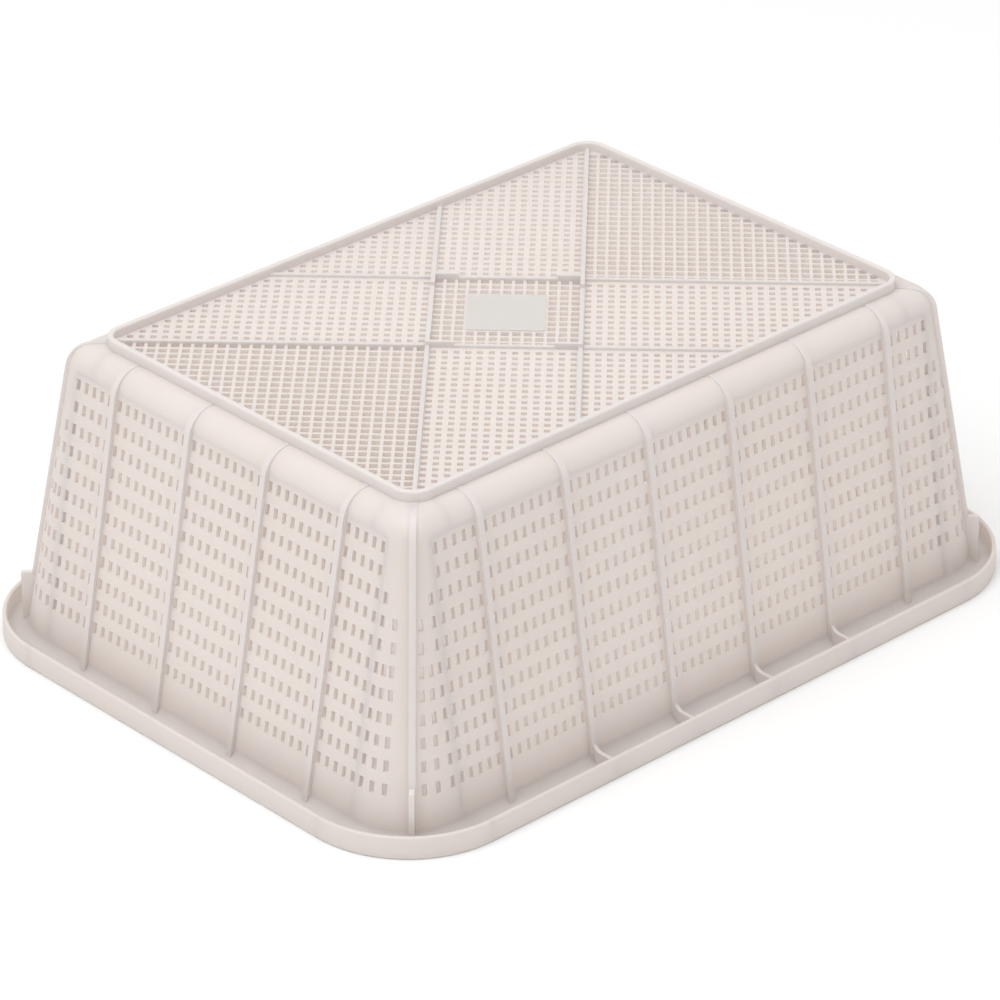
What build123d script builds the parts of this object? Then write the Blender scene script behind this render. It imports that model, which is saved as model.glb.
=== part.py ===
from build123d import *
from math import atan, cos, degrees, hypot, radians, sin, sqrt
import os

# Perforated cheese mould standing on its mouth, base upward.
# Millimetres. +Z up, +X along the long side, origin at the middle of the floor under the mouth rim.

# ---- driving dimensions -------------------------------------------------
total_height = 147.4
rim_length = 400.0
rim_width = 297.6
rim_corner = 52.3
rim_floor = 2.0            # horizontal flange around the mouth
skirt_height = 10.8        # lip standing up from the edge of the flange
skirt_wall = 2.0
skirt_round = 0.9
flange_round = 0.8
cove_radius = 6.0          # hollow between the foot of the walls and the flange

shell_wall = 2.0
level_factor = 1.013       # a sloping wall measured level is this much thicker
mouth_half_x = 186.4       # outer face of the end walls at z = 0
mouth_half_y = 134.3       # outer face of the long walls at z = 0
end_slope = 0.179          # inward run of the end walls per mm of height
side_slope = 0.155         # inward run of the long walls per mm of height
mouth_corner = 30.4        # corner radius of the outer face at z = 0
corner_taper = 0.138       # the corner radius shrinks by this per mm of height

shoulder_top = 142.4       # flat top of the shoulder, at the foot of the ridge
shoulder_radius = 10.8
shoulder_start = 133.0     # joint between the flat walls and the shoulders

ridge_length = 300.0
ridge_width = 203.6
ridge_corner = 11.0
ridge_thick = 2.8
ridge_round = 0.9
ridge_bottom = shoulder_top - shell_wall

panel_top = 143.2          # perforated base, 4.2 mm below the top of the ridge
panel_thick = 1.8

rib_width = 3.0
rib_proud = 2.0
rib_proud_top = 0.3        # ribs fade out on top of the shoulder
rib_shoulder = 13.0
rib_pitch = 49.5
side_rib_x = [(i - 2.5) * rib_pitch for i in range(6)]
end_rib_y = [(i - 1.5) * rib_pitch for i in range(4)]

slot_width = 2.4
slot_height = 5.4
slot_cut = 10.0            # depth of the cutters for the corner slots
slot_pitch = 5.35
slot_rows = 11
slot_row_pitch = 10.38
slot_row_low = 24.0        # height of the lowest row of slots

side_half = 150.3          # half length of the flat part of the long walls
end_half = 100.9           # half length of the flat part of the end walls

base_rib_width = 2.0
base_rib_proud = 1.2
base_rib_offset = 33.5     # rib line to the centre, measured at 45 degrees

cell_count = 13            # holes across the strip between two base ribs
cell_margin = 2.8          # first hole centre to the rib line
cell_pitch = (2 * base_rib_offset - 2 * cell_margin) / (cell_count - 1)
large_hole = 3.6
small_hole = 2.6
panel_edge = 0.3           # holes are cut off this far from the ridge
panel_corner = 9.0         # solid web in each corner of the ridge
smallest_cut = 1.2         # area of the smallest cut-off hole kept

plaque_size = 7 * cell_pitch - 0.9
plaque_corner = 0.6
plaque_thick = 0.5
bracket_rise = 2.9         # above the perforated base
bracket_arm = 12.3
bracket_cross_arm = 10.4

fin_thick = 2.0
fin_rise = 11.0            # height at which a fin leaves its rib
fin_lip = 8.4              # height of the fin at the skirt
fin_sweep = 5.0            # length of the curved part of its edge
fin_sag = 0.6

corner_line = 46.9         # |x| - |y| of the corner ribs
corner_fin_top = 26.5
corner_fin_reach = 153.0   # mean of |x| and |y| at the upright edge of a corner fin
corner_fin_inner = 100.0   # inside the shell, cut away
corner_fin_thick = 2.4

tall = 400.0               # size of cutting blocks

os.makedirs("parts", exist_ok=True)


def save(part, label):
    part.label = label
    export_step(part, "parts/" + label + ".step", write_pcurves=False)


def pierced(outline, holes, amount, direction):
    """Plate drawn as one outline face with a closed wire for every hole, then extruded."""
    with BuildPart() as plate:
        extrude(to_extrude=outline.make_holes(holes), amount=amount, dir=direction)
    return plate.part


def opening(plane, u, v, width, height):
    """Rectangular hole outline centred at (u, v) on a plane."""
    corners_uv = (
        (u - width / 2, v - height / 2),
        (u + width / 2, v - height / 2),
        (u + width / 2, v + height / 2),
        (u - width / 2, v + height / 2),
    )
    return Wire.make_polygon([plane.from_local_coords((cu, cv, 0)) for cu, cv in corners_uv], close=True)


# ---- shape of the shell -------------------------------------------------
def half_x(z):
    return mouth_half_x - end_slope * z


def half_y(z):
    return mouth_half_y - side_slope * z


def corner_at(z):
    return mouth_corner - corner_taper * z


def tapered_body(grow, top, radius):
    """Solid tapered block, grown outward by grow, with a rounded shoulder."""
    with BuildPart() as body:
        for z in (0.0, top):
            with BuildSketch(Plane.XY.offset(z)):
                RectangleRounded(2 * (half_x(z) + grow), 2 * (half_y(z) + grow), corner_at(z) + grow)
        loft(ruled=True)
        fillet(body.faces().sort_by(Axis.Z)[-1].edges(), radius)
    return body.part


def upright(length, width, corner, bottom, top):
    """Upright rounded block between two heights."""
    with BuildPart() as block:
        with BuildSketch(Plane.XY.offset(bottom)):
            RectangleRounded(length, width, corner)
        extrude(amount=top - bottom)
    return block.part


def span(x0, x1, y0, y1, z0, z1):
    """Box between two corners."""
    with BuildPart() as block:
        with Locations(((x0 + x1) / 2, (y0 + y1) / 2, (z0 + z1) / 2)):
            Box(x1 - x0, y1 - y0, z1 - z0)
    return block.part


skin = shell_wall * level_factor
outer_body = tapered_body(0.0, shoulder_top, shoulder_radius)
inner_body = tapered_body(-skin, shoulder_top - shell_wall, shoulder_radius - shell_wall)
rib_body = tapered_body(rib_proud, shoulder_top + rib_proud_top, rib_shoulder)
ridge_block = upright(ridge_length, ridge_width, ridge_corner, 0, tall)

# ---- mouth rim: flange and skirt, four straight runs and four corners ----
with BuildPart() as rim:
    with BuildSketch():
        RectangleRounded(rim_length, rim_width, rim_corner)
        RectangleRounded(
            2 * (half_x(rim_floor) - skin),
            2 * (half_y(rim_floor) - skin),
            corner_at(rim_floor) - skin,
            mode=Mode.SUBTRACT,
        )
    extrude(amount=rim_floor)
    with BuildSketch(Plane.XY.offset(rim_floor)):
        RectangleRounded(rim_length, rim_width, rim_corner)
        offset(amount=-skirt_wall, mode=Mode.SUBTRACT)
    extrude(amount=skirt_height - rim_floor)
    fillet(rim.faces().sort_by(Axis.Z)[-1].edges(), skirt_round)
    fillet(rim.faces().sort_by(Axis.Z)[0].outer_wire().edges(), flange_round)


def at_foot(edge):
    """True for the edges where the outer face of the shell meets the flange."""
    middle = edge.center()
    past_x = max(abs((edge @ 0.5).X) - half_x(rim_floor) + corner_at(rim_floor), 0.0)
    past_y = max(abs((edge @ 0.5).Y) - half_y(rim_floor) + corner_at(rim_floor), 0.0)
    return abs(middle.Z - rim_floor) < 0.01 and abs(hypot(past_x, past_y) - corner_at(rim_floor)) < 0.01


plug = outer_body & span(-tall, tall, -tall, tall, rim_floor, rim_floor + 3 * cove_radius)
trough = rim.part + plug
trough = fillet(trough.edges().filter_by(at_foot), cove_radius)
rim_ring = trough - plug

run_x = rim_length / 2 - rim_corner
run_y = rim_width / 2 - rim_corner
low = -1.0
high = skirt_height + 1.0
for label, sign in (("front", -1), ("back", 1)):
    block = span(-run_x, run_x, min(0, sign * tall), max(0, sign * tall), low, high)
    save(rim_ring & block, "rim_" + label)
for label, sign in (("left", -1), ("right", 1)):
    block = span(min(0, sign * tall), max(0, sign * tall), -run_y, run_y, low, high)
    save(rim_ring & block, "rim_" + label)

corners = (
    ("front_left", -1, -1),
    ("front_right", 1, -1),
    ("back_left", -1, 1),
    ("back_right", 1, 1),
)
for label, sx, sy in corners:
    block = span(
        min(sx * run_x, sx * tall), max(sx * run_x, sx * tall),
        min(sy * run_y, sy * tall), max(sy * run_y, sy * tall),
        low, high,
    )
    save(rim_ring & block, "rim_corner_" + label)

# ---- flat perforated walls ----------------------------------------------
row_heights = [slot_row_low + i * slot_row_pitch for i in range(slot_rows)]


def slot_columns(ribs, half):
    """Slot centres along a wall: nine per bay and five beyond the last rib."""
    columns = []
    for centre in ribs[:-1]:
        columns += [centre + rib_pitch / 2 + (i - 4) * slot_pitch for i in range(9)]
    first = ribs[-1] + (rib_pitch - 8 * slot_pitch) / 2
    outer = [first + i * slot_pitch for i in range(5)]
    columns += [x for x in outer if x < half] + [-x for x in outer if x < half]
    return columns


def flat_wall(half, ribs, plane, slope, inward):
    """Perforated wall drawn on its own outer face, with level top and bottom edges."""
    lean = cos(atan(slope))
    low_edge = rim_floor / lean
    high_edge = shoulder_start / lean
    with BuildSketch(plane) as outline:
        with Locations((0, (low_edge + high_edge) / 2)):
            Rectangle(2 * half, high_edge - low_edge)
    slots = [
        opening(plane, x, z / lean, slot_width, slot_height)
        for x in slot_columns(ribs, half) for z in row_heights
    ]
    return pierced(outline.sketch.face(), slots, skin, inward)


front_plane = Plane(origin=(0, -mouth_half_y, 0), x_dir=(1, 0, 0), z_dir=(0, -1, side_slope))
left_plane = Plane(origin=(-mouth_half_x, 0, 0), x_dir=(0, -1, 0), z_dir=(-1, 0, end_slope))
wall_front = flat_wall(side_half, side_rib_x, front_plane, side_slope, (0, 1, 0))
wall_left = flat_wall(end_half, end_rib_y, left_plane, end_slope, (1, 0, 0))
save(wall_front, "wall_front")
save(mirror(wall_front, about=Plane.XZ), "wall_back")
save(wall_left, "wall_left")
save(mirror(wall_left, about=Plane.YZ), "wall_right")

# ---- shoulders and corners of the shell ---------------------------------
shell = outer_body - inner_body - ridge_block
ridge_run_x = ridge_length / 2 - ridge_corner
ridge_run_y = ridge_width / 2 - ridge_corner
for label, sign in (("front", -1), ("back", 1)):
    block = span(-ridge_run_x, ridge_run_x, min(0, sign * tall), max(0, sign * tall), shoulder_start, tall)
    save(shell & block, "shoulder_" + label)
for label, sign in (("left", -1), ("right", 1)):
    block = span(min(0, sign * tall), max(0, sign * tall), -ridge_run_y, ridge_run_y, shoulder_start, tall)
    save(shell & block, "shoulder_" + label)

side_last = side_rib_x[-1] + (rib_pitch - 8 * slot_pitch) / 2 + 5 * slot_pitch
end_last = end_rib_y[-1] + (rib_pitch - 8 * slot_pitch) / 2 + 5 * slot_pitch
near_angle = 27.0          # slots beside the corner rib, measured from the wall
last_row_far = 8           # highest rows with a slot at the edge of the corner, half way and beside the rib
last_row_half = 5
last_row_near = 7


def corner_slot_places(z):
    """Places (x, y, angle) of the slots around the +X +Y corner at one height."""
    row = round((z - slot_row_low) / slot_row_pitch)
    centre_x = half_x(z) - corner_at(z)
    centre_y = half_y(z) - corner_at(z)
    radius = corner_at(z)
    steps = []
    if row <= last_row_far:
        steps.append(0.0)
    if row <= last_row_half:
        steps.append(0.5)
    if row <= last_row_near:
        steps.append(1.0)
    places = []
    for start, centre, from_side in ((side_last, centre_x, True), (end_last, centre_y, False)):
        first = degrees(max(start - centre, 0.0) / radius)
        for step in steps:
            angle = first + step * (near_angle - first)
            heading = 90 - angle if from_side else angle
            px = centre_x + radius * cos(radians(heading))
            py = centre_y + radius * sin(radians(heading))
            if step == 0.0 and from_side:
                px = start
            if step == 0.0 and not from_side:
                py = start
            places.append((px, py, heading))
    return places


with BuildPart() as corner_slots:
    for height in row_heights:
        for px, py, heading in corner_slot_places(height):
            with Locations(Location((px, py, height), (0, 0, heading))):
                Box(slot_cut, slot_width, slot_height)

corner_shell = shell - corner_slots.part
corner_shell = corner_shell - span(-side_half, side_half, -tall, tall, low, shoulder_start)
corner_shell = corner_shell - span(-tall, tall, -end_half, end_half, low, shoulder_start)
corner_shell = corner_shell - span(-ridge_run_x, ridge_run_x, -tall, tall, shoulder_start, tall)
corner_shell = corner_shell - span(-tall, tall, -ridge_run_y, ridge_run_y, shoulder_start, tall)
corner_shell = corner_shell & span(0, tall, 0, tall, rim_floor, tall)
for label, sx, sy in corners:
    piece = corner_shell
    if sx < 0:
        piece = mirror(piece, about=Plane.YZ)
    if sy < 0:
        piece = mirror(piece, about=Plane.XZ)
    save(piece, "corner_" + label)

# ---- ribs on the walls and over the corners -----------------------------
rib_band = rib_body - outer_body - ridge_block


def foot_top(slope):
    """Height at which the cove leaves a wall of this slope."""
    return rim_floor + cove_radius * (1 - slope / sqrt(1 + slope**2))


def rib_foot(plane, mouth_half, slope):
    """Lowest part of a rib, standing on the cove; drawn with u outward from the wall."""
    top = foot_top(slope)
    low_u = mouth_half - slope * rim_floor
    top_u = mouth_half - slope * top
    centre_z = rim_floor + cove_radius
    centre_u = mouth_half - slope * centre_z + cove_radius * sqrt(1 + slope**2)
    with BuildPart() as foot:
        with BuildSketch(plane):
            with BuildLine():
                Polyline(
                    (low_u, rim_floor),
                    (top_u, top),
                    (top_u + rib_proud, top),
                    (low_u + rib_proud, rim_floor),
                    close=True,
                )
            make_face()
            with Locations((centre_u, centre_z)):
                Circle(cove_radius, mode=Mode.INTERSECT)
        extrude(amount=rib_width / 2, both=True)
    return foot.part


for label, sign in (("front", -1), ("back", 1)):
    with BuildPart() as plates:
        for x in side_rib_x:
            with Locations((x, sign * tall / 2, foot_top(side_slope) + tall / 2)):
                Box(rib_width, tall, tall)
    ribs = plates.part & rib_band
    for x in side_rib_x:
        outward = Plane(origin=(x, 0, 0), x_dir=(0, sign, 0), z_dir=(sign, 0, 0))
        ribs = ribs + rib_foot(outward, mouth_half_y, side_slope)
    save(ribs, "ribs_" + label)
for label, sign in (("left", -1), ("right", 1)):
    with BuildPart() as plates:
        for y in end_rib_y:
            with Locations((sign * tall / 2, y, foot_top(end_slope) + tall / 2)):
                Box(tall, rib_width, tall)
    ribs = plates.part & rib_band
    for y in end_rib_y:
        outward = Plane(origin=(0, y, 0), x_dir=(sign, 0, 0), z_dir=(0, -sign, 0))
        ribs = ribs + rib_foot(outward, mouth_half_x, end_slope)
    save(ribs, "ribs_" + label)

for label, sx, sy in corners:
    heading = degrees(atan(sy / sx)) + (180 if sx < 0 else 0)
    with BuildPart() as plate:
        with Locations(Location((sx * (corner_line + tall / 4), sy * tall / 4, tall / 2 + corner_fin_top),
                                (0, 0, heading))):
            Box(tall / 2, rib_width, tall)
    save(plate.part & rib_band, "corner_rib_" + label)

# ---- fins in the gutter -------------------------------------------------
skirt_inner_y = rim_width / 2 - skirt_wall
for label, sign in (("front", -1), ("back", 1)):
    with BuildPart() as fins:
        for x in side_rib_x[1:-1]:
            with BuildSketch(Plane(origin=(x, 0, 0), x_dir=(0, sign, 0), z_dir=(sign, 0, 0))):
                foot = (half_y(rim_floor) + rib_proud, rim_floor)
                neck = (half_y(fin_rise) + rib_proud, fin_rise)
                lip = (skirt_inner_y, fin_lip)
                sweep_end = (neck[0] + fin_sweep, fin_lip)
                sweep_middle = (neck[0] + fin_sweep / 2 - fin_sag, (fin_rise + fin_lip) / 2 - fin_sag)
                with BuildLine():
                    Line(foot, neck)
                    ThreePointArc(neck, sweep_middle, sweep_end)
                    Line(sweep_end, lip)
                    Line(lip, (skirt_inner_y, rim_floor))
                    Line((skirt_inner_y, rim_floor), foot)
                make_face()
            extrude(amount=fin_thick / 2, both=True)
    save(fins.part - rim_ring, "rim_fins_" + label)

reach = (corner_fin_reach - corner_line / 2) * sqrt(2)
for label, sx, sy in corners:
    across = Vector(sx, sy, 0)
    outward = Plane(origin=(sx * corner_line, 0, 0), x_dir=across, z_dir=across.cross(Vector(0, 0, 1)))
    with BuildPart() as fin:
        with BuildSketch(outward):
            with BuildLine():
                Polyline(
                    (corner_fin_inner, rim_floor),
                    (corner_fin_inner, corner_fin_top),
                    (reach, corner_fin_top),
                    (reach, rim_floor),
                    close=True,
                )
            make_face()
        extrude(amount=corner_fin_thick / 2, both=True)
    save(fin.part - outer_body - rim_ring, "corner_fin_" + label)

# ---- stacking ridge around the base -------------------------------------
with BuildPart() as ridge:
    with BuildSketch(Plane.XY.offset(ridge_bottom)):
        RectangleRounded(ridge_length, ridge_width, ridge_corner)
        offset(amount=-ridge_thick, mode=Mode.SUBTRACT)
    extrude(amount=total_height - ridge_bottom)
    fillet(ridge.faces().sort_by(Axis.Z)[-1].edges(), ridge_round)
save(ridge.part, "base_ridge")

# ---- perforated base: nine fields between four diagonal ribs -------------
inner_half_x = ridge_length / 2 - ridge_thick
inner_half_y = ridge_width / 2 - ridge_thick
inner_corner = ridge_corner - ridge_thick
on_grid = Plane(origin=(0, 0, panel_top), x_dir=(1, -1, 0), z_dir=(0, 0, 1))   # u along the long ribs


line_count = 40
inside = [cell_pitch * (i - (cell_count - 1) / 2) for i in range(cell_count)]
outside = [base_rib_offset + cell_margin + i * cell_pitch for i in range(line_count)]
beyond = [base_rib_offset + (i + 1) * cell_pitch for i in range(line_count)]
between = [2 * base_rib_offset / cell_count * (i - (cell_count - 2) / 2) for i in range(cell_count - 1)]

reach_x = inner_half_x - panel_edge
reach_y = inner_half_y - panel_edge
base_limits = [(1, 0, reach_x), (-1, 0, reach_x), (0, 1, reach_y), (0, -1, reach_y)]
for a in (-1, 1):
    for b in (-1, 1):
        base_limits.append((a, b, reach_x + reach_y - panel_corner))


def trimmed(points, a, b, limit):
    """Part of a convex outline where a * x + b * y is at most limit."""
    kept = []
    for (x0, y0), (x1, y1) in zip(points, points[1:] + points[:1]):
        over0 = a * x0 + b * y0 - limit
        over1 = a * x1 + b * y1 - limit
        if over0 <= 0:
            kept.append((x0, y0))
        if over0 * over1 < 0:
            share = over0 / (over0 - over1)
            kept.append((x0 + share * (x1 - x0), y0 + share * (y1 - y0)))
    return kept


def area(points):
    pairs = zip(points, points[1:] + points[:1])
    return abs(sum(x0 * y1 - x1 * y0 for (x0, y0), (x1, y1) in pairs)) / 2


def base_hole(u, v, size):
    """Square hole on the 45 degree grid, cut off along the ridge; None where too little is left."""
    half = size / 2
    corners_uv = ((u - half, v - half), (u + half, v - half), (u + half, v + half), (u - half, v + half))
    points = [((p + q) / sqrt(2), (q - p) / sqrt(2)) for p, q in corners_uv]
    for a, b, limit in base_limits:
        points = trimmed(points, a, b, limit)
    if area(points) < smallest_cut:
        return None
    return Wire.make_polygon([(x, y, panel_top) for x, y in points], close=True)


def base_field(u_range, v_range, u_lines, v_lines, hole, closed=0.0):
    """One field of the base between rib lines; nothing is pierced within closed of the centre."""
    u0, u1 = u_range
    v0, v1 = v_range
    with BuildSketch(on_grid) as outline:
        with Locations(((u0 + u1) / 2, (v0 + v1) / 2)):
            Rectangle(u1 - u0, v1 - v0)
        with Locations(Rotation(0, 0, 45)):
            RectangleRounded(2 * inner_half_x, 2 * inner_half_y, inner_corner, mode=Mode.INTERSECT)
    holes = [base_hole(u, v, hole) for u in u_lines for v in v_lines if max(abs(u), abs(v)) > closed]
    holes = [wire for wire in holes if wire is not None]
    return pierced(outline.sketch.face(), holes, panel_thick, (0, 0, -1))


w = base_rib_offset
far = 260.0
minus_outside = [-u for u in outside]
minus_beyond = [-u for u in beyond]
half_turn = Rotation(0, 0, 180)
middle = base_field((-w, w), (-w, w), inside, inside, large_hole, closed=3.5 * cell_pitch)
end_left = base_field((-far, -w), (-far, -w), minus_outside, minus_outside, large_hole)
side_front = base_field((w, far), (-far, -w), outside, minus_beyond, small_hole)
strip_right = base_field((w, far), (-w, w), outside, between, small_hole)
strip_front = base_field((-w, w), (-far, -w), inside, minus_beyond, small_hole)
save(middle, "base_grid_middle")
save(end_left, "base_grid_end_left")
save(half_turn * end_left, "base_grid_end_right")
save(side_front, "base_grid_side_front")
save(half_turn * side_front, "base_grid_side_back")
save(strip_right, "base_grid_front_right")
save(half_turn * strip_right, "base_grid_back_left")
save(strip_front, "base_grid_front_left")
save(half_turn * strip_front, "base_grid_back_right")

# ---- diagonal ribs, brackets and plaque on the base ----------------------
rib_base = upright(2 * inner_half_x, 2 * inner_half_y, inner_corner, panel_top, tall)
half_rib = base_rib_width / 2

for label, v in (("long_rib_front", -w), ("long_rib_back", w)):
    with BuildPart() as bar:
        with BuildSketch(on_grid):
            with Locations((0, v)):
                Rectangle(2 * far, base_rib_width)
        extrude(amount=base_rib_proud)
    save(bar.part & rib_base, "base_" + label)

for label, u in (("left", -w), ("right", w)):
    with BuildPart() as bars:
        with BuildSketch(on_grid):
            with Locations((u, 0)):
                Rectangle(base_rib_width, 2 * far)
            with Locations((u, -w), (u, w)):
                Rectangle(base_rib_width, base_rib_width, mode=Mode.SUBTRACT)
        extrude(amount=base_rib_proud)
    save(bars.part & rib_base, "base_cross_ribs_" + label)

for label, su, sv in (("left", -1, -1), ("front", 1, -1), ("back", -1, 1), ("right", 1, 1)):
    edge_u = su * (w + half_rib)
    edge_v = sv * (w + half_rib)
    with BuildPart() as bracket:
        with BuildSketch(on_grid.offset(base_rib_proud)):
            with Locations((edge_u - su * bracket_arm / 2, sv * w)):
                Rectangle(bracket_arm, base_rib_width)
            with Locations((su * w, edge_v - sv * bracket_cross_arm / 2)):
                Rectangle(base_rib_width, bracket_cross_arm)
        extrude(amount=bracket_rise - base_rib_proud)
    save(bracket.part, "stack_bracket_" + label)

with BuildPart() as plaque:
    with BuildSketch(on_grid):
        RectangleRounded(plaque_size, plaque_size, plaque_corner)
    extrude(amount=plaque_thick)
save(plaque.part, "plaque")
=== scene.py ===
from math import cos, pi, radians, sin

import bpy
from mathutils import Matrix, Vector


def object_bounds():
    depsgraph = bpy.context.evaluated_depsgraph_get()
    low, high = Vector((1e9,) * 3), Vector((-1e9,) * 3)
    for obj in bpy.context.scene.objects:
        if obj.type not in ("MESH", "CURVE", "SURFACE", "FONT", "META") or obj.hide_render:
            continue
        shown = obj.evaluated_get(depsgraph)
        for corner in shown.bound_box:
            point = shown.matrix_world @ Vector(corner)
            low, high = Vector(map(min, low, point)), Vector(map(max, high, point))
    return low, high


MM = 0.001

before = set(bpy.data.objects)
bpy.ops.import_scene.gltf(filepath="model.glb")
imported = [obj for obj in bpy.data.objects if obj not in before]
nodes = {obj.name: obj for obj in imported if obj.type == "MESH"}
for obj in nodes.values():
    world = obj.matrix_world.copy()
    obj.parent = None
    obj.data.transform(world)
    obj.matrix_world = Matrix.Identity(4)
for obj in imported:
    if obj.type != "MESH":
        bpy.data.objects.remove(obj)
cad_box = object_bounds()
height = cad_box[1][2]

# ---- camera: the photograph's viewing angle ------------------------------
AZIMUTH = -43.46
ELEVATION = 28.86
ROLL = 0.2
DISTANCE = 2348 * MM
LENS = 188.2
AIM_RIGHT = -2.46 * MM
AIM_UP = -21.9 * MM

# ---- plastic colours (linear) --------------------------------------------
IVORY = (0.880, 0.840, 0.826)
IVORY_SHADE = (0.850, 0.798, 0.772)
PLAQUE_IVORY = (0.845, 0.815, 0.768)
GLOW = (0.920, 0.860, 0.800)
FLOOR_WHITE = (0.93, 0.93, 0.93)
FLOOR_MOTTLE = 0.985       # the darker patches of the floor, against FLOOR_WHITE

# ---- how the plastic takes light -----------------------------------------
SHEET_GLOW = 0.38          # share of light passing through the thin walls, the base and the rim
SOLID_GLOW = 0.28          # share passing through ribs, fins, brackets and ridge
MOLD_ROUGHNESS = 0.42
PLAQUE_ROUGHNESS = 0.36
ROUGHNESS_SPREAD = 0.07
PLASTIC_IOR = 1.49
SCATTER_WEIGHT = 0.12
SCATTER_RADIUS = (1.0, 0.85, 0.65)
SCATTER_DEPTH = 3 * MM

# ---- fineness of the surface noises, in features per metre -----------------
CLOUD_FINENESS = 9
WAVE_FINENESS = 28
SHEEN_FINENESS = 60
PLAQUE_GRAIN = 400
MOLD_GRAIN = 700
SPECK_FINENESS = 900
PEEL_HEIGHT = 0.12 * MM
WAVE_HEIGHT = 0.5 * MM

# ---- studio light -----------------------------------------------------------
SKY_STRENGTH = 0.72
KEY_POWER = 20
TOP_POWER = 18
FILL_POWER = 0.17
FILL_LENGTH = 320 * MM
FILL_WIDTH = 220 * MM
FLOOR_HALF = 6.0
FLOOR_GAP = 0.2 * MM


# ---- node helpers ---------------------------------------------------------
def node_tree(name):
    """New material with its shader and output, ready for more nodes."""
    mat = bpy.data.materials.new(name)
    mat.use_nodes = True
    tree = mat.node_tree
    shader = tree.nodes["Principled BSDF"]
    return mat, tree, shader


def add(tree, kind, **values):
    """New node with its properties and input values set by name."""
    node = tree.nodes.new(kind)
    for key, value in values.items():
        if hasattr(node, key):
            setattr(node, key, value)
        else:
            node.inputs[key.replace("_", " ")].default_value = value
    return node


def noise(tree, place, scale, detail, roughness=0.5):
    node = add(tree, "ShaderNodeTexNoise", Scale=scale, Detail=detail, Roughness=roughness)
    tree.links.new(place.outputs["Object"], node.inputs["Vector"])
    return node.outputs["Fac"]


def remap(tree, value, low_in, high_in, low_out, high_out):
    node = tree.nodes.new("ShaderNodeMapRange")
    tree.links.new(value, node.inputs["Value"])
    node.inputs["From Min"].default_value = low_in
    node.inputs["From Max"].default_value = high_in
    node.inputs["To Min"].default_value = low_out
    node.inputs["To Max"].default_value = high_out
    return node.outputs["Result"]


def blend(tree, factor, first, second):
    """Colour mixed from first to second; either may be a colour or a socket."""
    node = tree.nodes.new("ShaderNodeMix")
    node.data_type = "RGBA"
    tree.links.new(factor, node.inputs["Factor"])
    for socket, colour in ((node.inputs["A"], first), (node.inputs["B"], second)):
        if isinstance(colour, tuple):
            socket.default_value = (*colour, 1.0)
        else:
            tree.links.new(colour, socket)
    return node.outputs["Result"]


# ---- materials ------------------------------------------------------------
def moulded_plastic(name, light, shade, grain, roughness, passing):
    """Milky moulded polypropylene: cloudy tint, fine speckle, satin sheen and a light orange peel."""
    mat, tree, shader = node_tree(name)
    place = tree.nodes.new("ShaderNodeTexCoord")
    clouds = remap(tree, noise(tree, place, CLOUD_FINENESS, 3), 0.35, 0.65, 0.0, 0.55)
    specks = remap(tree, noise(tree, place, SPECK_FINENESS, 2), 0.55, 0.75, 0.0, 0.30)
    tint = blend(tree, clouds, light, shade)
    tree.links.new(blend(tree, specks, tint, shade), shader.inputs["Base Color"])
    smoothest = roughness - ROUGHNESS_SPREAD
    roughest = roughness + ROUGHNESS_SPREAD
    sheen = remap(tree, noise(tree, place, SHEEN_FINENESS, 4), 0.3, 0.7, smoothest, roughest)
    tree.links.new(sheen, shader.inputs["Roughness"])
    peel = add(tree, "ShaderNodeBump", Strength=0.22, Distance=PEEL_HEIGHT)
    tree.links.new(noise(tree, place, grain, 3), peel.inputs["Height"])
    waves = add(tree, "ShaderNodeBump", Strength=0.35, Distance=WAVE_HEIGHT)
    tree.links.new(noise(tree, place, WAVE_FINENESS, 2), waves.inputs["Height"])
    tree.links.new(waves.outputs["Normal"], peel.inputs["Normal"])
    tree.links.new(peel.outputs["Normal"], shader.inputs["Normal"])
    glow = tree.nodes.new("ShaderNodeBsdfTranslucent")
    glow.inputs["Color"].default_value = (*GLOW, 1.0)
    mix = tree.nodes.new("ShaderNodeMixShader")
    mix.inputs["Fac"].default_value = passing
    tree.links.new(shader.outputs["BSDF"], mix.inputs[1])
    tree.links.new(glow.outputs["BSDF"], mix.inputs[2])
    tree.links.new(mix.outputs["Shader"], tree.nodes["Material Output"].inputs["Surface"])
    shader.inputs["IOR"].default_value = PLASTIC_IOR
    shader.inputs["Subsurface Weight"].default_value = SCATTER_WEIGHT
    shader.inputs["Subsurface Radius"].default_value = SCATTER_RADIUS
    shader.inputs["Subsurface Scale"].default_value = SCATTER_DEPTH
    return mat


def floor_paint():
    """Pale matt studio floor with a barely visible mottle."""
    mat, tree, shader = node_tree("floor_paint")
    place = tree.nodes.new("ShaderNodeTexCoord")
    mottle = remap(tree, noise(tree, place, 3, 2), 0.3, 0.7, 0.0, 1.0)
    darker = tuple(FLOOR_MOTTLE * c for c in FLOOR_WHITE)
    tree.links.new(blend(tree, mottle, FLOOR_WHITE, darker), shader.inputs["Base Color"])
    shader.inputs["Roughness"].default_value = 0.9
    return mat


# ---- CAD nodes keep their shape and get their finish ------------------------
THIN_SHELL = ("wall_", "shoulder_", "base_grid_", "corner_front_", "corner_back_")
THIN_RIM = ("rim_front", "rim_back", "rim_left", "rim_right", "rim_corner_")

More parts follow.
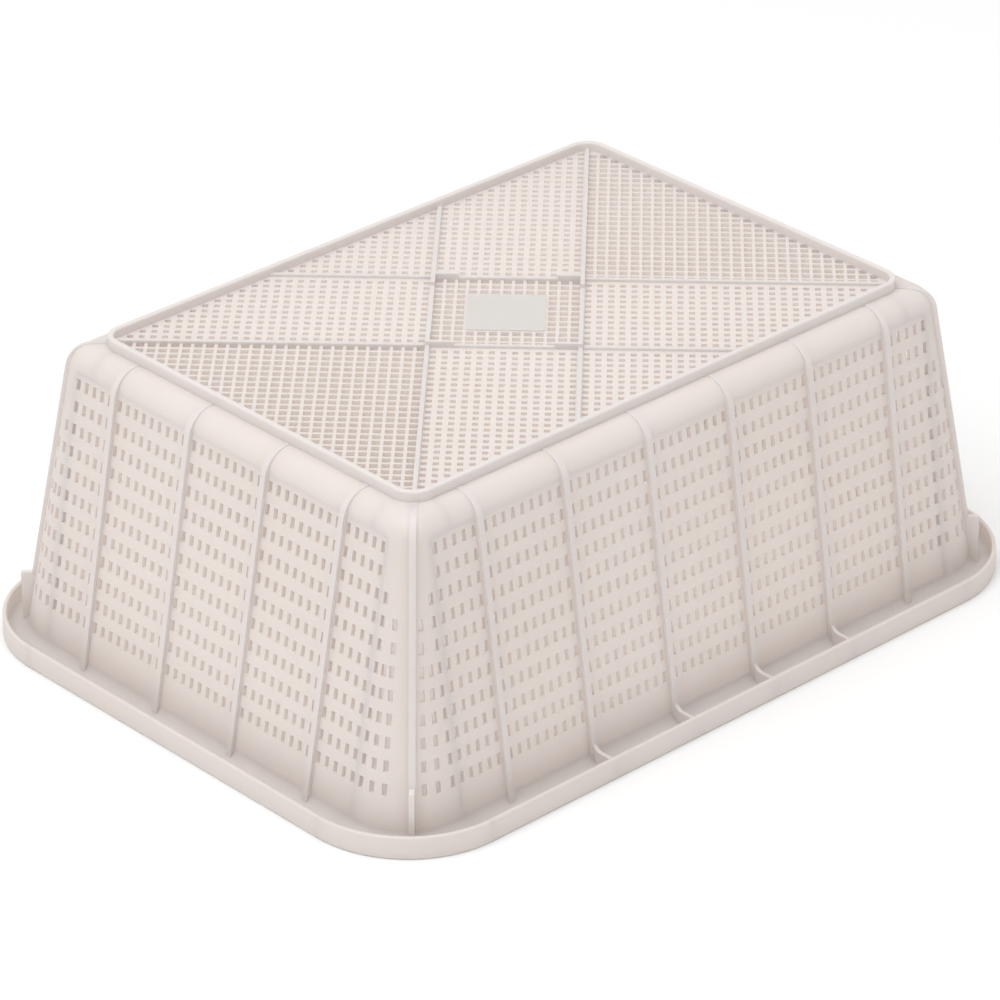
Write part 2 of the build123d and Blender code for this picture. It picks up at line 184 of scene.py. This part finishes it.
sheet_plastic = moulded_plastic(
    "sheet_plastic", IVORY, IVORY_SHADE, MOLD_GRAIN, MOLD_ROUGHNESS, SHEET_GLOW
)
solid_plastic = moulded_plastic(
    "solid_plastic", IVORY, IVORY_SHADE, MOLD_GRAIN, MOLD_ROUGHNESS, SOLID_GLOW
)
plaque_plastic = moulded_plastic(
    "plaque_plastic", PLAQUE_IVORY, IVORY, PLAQUE_GRAIN, PLAQUE_ROUGHNESS, SOLID_GLOW
)


def finish_for(name):
    """Thin sheets let more light through than the solid features."""
    if name == "plaque":
        return plaque_plastic
    if name.startswith(THIN_SHELL + THIN_RIM):
        return sheet_plastic
    return solid_plastic


for name, obj in nodes.items():
    obj.data.materials.clear()
    obj.data.materials.append(finish_for(name))


# ---- studio -----------------------------------------------------------------
def studio_floor():
    half = FLOOR_HALF
    mesh = bpy.data.meshes.new("studio_floor")
    corners = [(-half, -half, 0), (half, -half, 0), (half, half, 0), (-half, half, 0)]
    mesh.from_pydata(corners, [], [(0, 1, 2, 3)])
    floor = bpy.data.objects.new("studio_floor", mesh)
    floor.location.z = -FLOOR_GAP
    bpy.context.collection.objects.link(floor)
    floor.data.materials.append(floor_paint())


def softbox(name, azimuth, elevation, distance, size, power):
    """Square area light aimed at the middle of the object; azimuth 0 is in front, 90 to the right."""
    lamp = bpy.data.lights.new(name, "AREA")
    lamp.shape = "SQUARE"
    lamp.size = size
    lamp.energy = power
    obj = bpy.data.objects.new(name, lamp)
    az, el = radians(azimuth), radians(elevation)
    away = Vector((sin(az) * cos(el), -cos(az) * cos(el), sin(el)))
    obj.location = Vector((0, 0, height / 2)) + distance * away
    obj.rotation_euler = away.to_track_quat("Z", "Y").to_euler()
    bpy.context.collection.objects.link(obj)


def inner_glow(length, width, power):
    """Fill light inside the mold, facing up, standing in for light that the milky walls let through."""
    lamp = bpy.data.lights.new("inner_glow", "AREA")
    lamp.shape = "RECTANGLE"
    lamp.size = length
    lamp.size_y = width
    lamp.energy = power
    obj = bpy.data.objects.new("inner_glow", lamp)
    obj.location = (0, 0, 2 * MM)
    obj.rotation_euler = (pi, 0, 0)
    bpy.context.collection.objects.link(obj)


def sky(strength):
    world = bpy.data.worlds.new("studio")
    world.use_nodes = True
    world.node_tree.nodes["Background"].inputs["Color"].default_value = (1.0, 1.0, 1.0, 1.0)
    world.node_tree.nodes["Background"].inputs["Strength"].default_value = strength
    bpy.context.scene.world = world


def photo_camera():
    lens = bpy.data.cameras.new("camera")
    lens.lens = LENS
    lens.sensor_width = 36
    lens.clip_end = 30
    camera = bpy.data.objects.new("camera", lens)
    az, el, roll = radians(AZIMUTH), radians(ELEVATION), radians(ROLL)
    right = Vector((cos(az), sin(az), 0))
    back = Vector((sin(az) * cos(el), -cos(az) * cos(el), sin(el)))
    up = back.cross(right)
    turned_right = right * cos(roll) + up * sin(roll)
    turned_up = up * cos(roll) - right * sin(roll)
    spot = Vector((0, 0, height / 2)) + back * DISTANCE + turned_right * AIM_RIGHT + turned_up * AIM_UP
    columns = Matrix((turned_right, turned_up, back)).transposed().to_4x4()
    camera.matrix_world = Matrix.Translation(spot) @ columns
    bpy.context.collection.objects.link(camera)
    bpy.context.scene.camera = camera


studio_floor()
sky(SKY_STRENGTH)
softbox("key_left", azimuth=-95, elevation=58, distance=2.6, size=1.8, power=KEY_POWER)
softbox("top", azimuth=-20, elevation=85, distance=2.4, size=2.0, power=TOP_POWER)
inner_glow(FILL_LENGTH, FILL_WIDTH, FILL_POWER)
photo_camera()
bpy.context.scene.view_settings.view_transform = "Standard"
